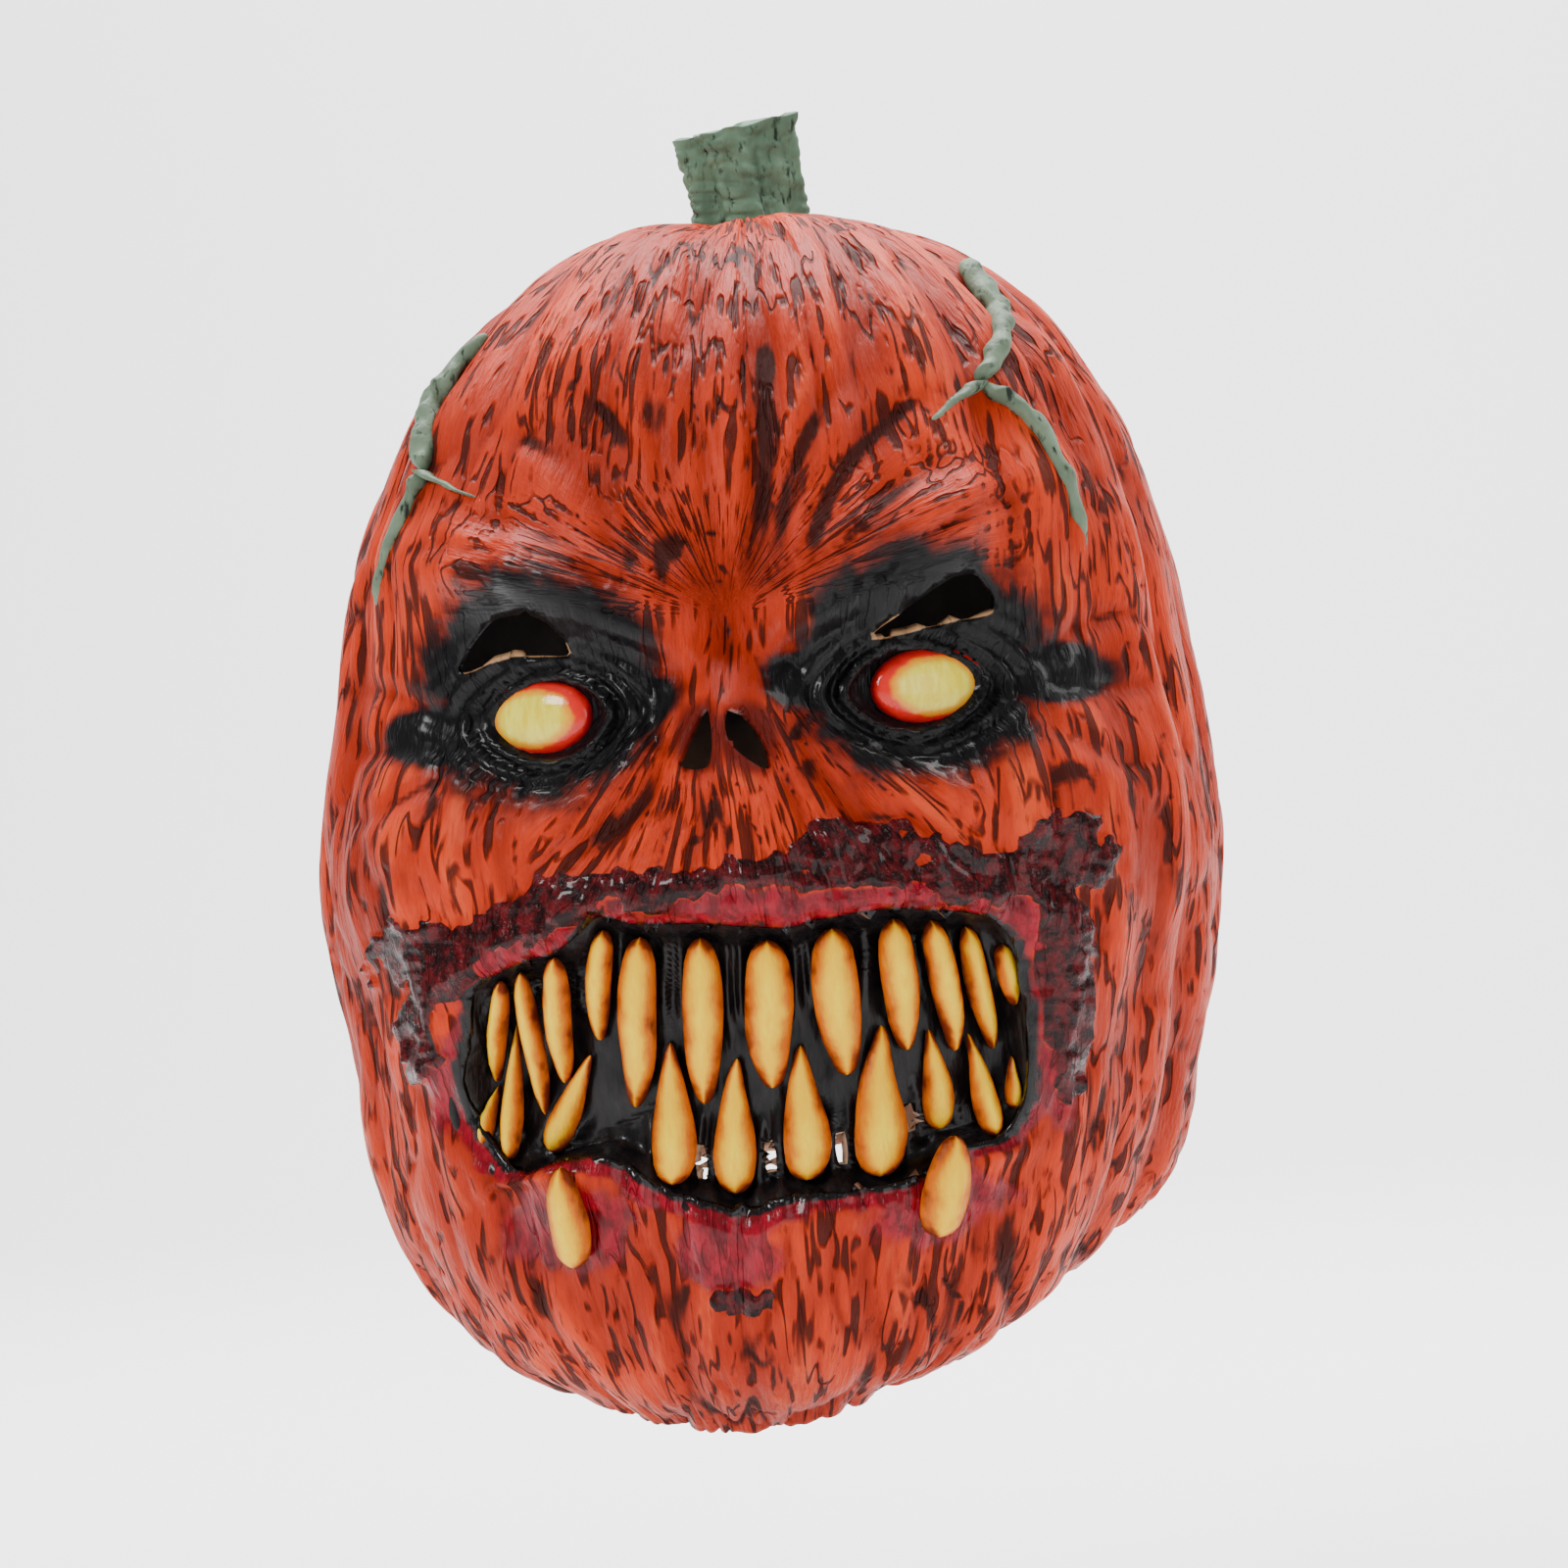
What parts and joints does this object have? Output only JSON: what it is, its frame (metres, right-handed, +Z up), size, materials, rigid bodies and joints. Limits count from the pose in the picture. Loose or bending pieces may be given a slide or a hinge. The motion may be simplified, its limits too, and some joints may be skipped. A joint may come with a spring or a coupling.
{
  "type": "full-head pumpkin mask",
  "caption": "Full-head moulded latex mask shaped as a ribbed pumpkin with a monster's face, a torn mouth full of long teeth, cut vision slits, a stem and vines.",
  "frame": {"origin": "inside of the crown on the mask's vertical axis, where the mask sits on the wearer's head", "axes": "+Z up, the face looks along -Y, +X is the wearer's left"},
  "size_m": [0.2449, 0.2725, 0.3549],
  "materials": {
    "orange_latex": "painted latex, orange-red with a brown-black wash in the wrinkles, satin",
    "black_gum": "painted latex, glossy black",
    "amber_tooth": "painted latex, yellow in the middle and orange-brown at the edges, satin",
    "yellow_eye": "painted latex, yellow with a red rim, gloss",
    "grey_green_stem": "painted latex, grey-green, matt",
    "grey_green_vine": "painted latex, grey-green, matt"
  },
  "bodies": {
    "root": {"mask_shell": "orange_latex", "gums": "black_gum", "upper_tooth_01": "amber_tooth", "upper_tooth_02": "amber_tooth", "upper_tooth_03": "amber_tooth", "upper_tooth_04": "amber_tooth", "upper_tooth_05": "amber_tooth", "upper_tooth_06": "amber_tooth", "upper_tooth_07": "amber_tooth", "upper_tooth_08": "amber_tooth", "upper_tooth_09": "amber_tooth", "upper_tooth_10": "amber_tooth", "upper_tooth_11": "amber_tooth", "upper_tooth_12": "amber_tooth", "lower_tooth_01": "amber_tooth", "lower_tooth_02": "amber_tooth", "lower_tooth_03": "amber_tooth", "lower_tooth_04": "amber_tooth", "lower_tooth_05": "amber_tooth", "lower_tooth_06": "amber_tooth", "lower_tooth_07": "amber_tooth", "lower_tooth_08": "amber_tooth", "lower_tooth_09": "amber_tooth", "lower_tooth_10": "amber_tooth", "lip_tooth_right": "amber_tooth", "lip_tooth_left": "amber_tooth", "eye_right": "yellow_eye", "eye_left": "yellow_eye", "stem": "grey_green_stem", "vine_left": "grey_green_vine", "vine_right": "grey_green_vine"}
  },
  "joints": []
}
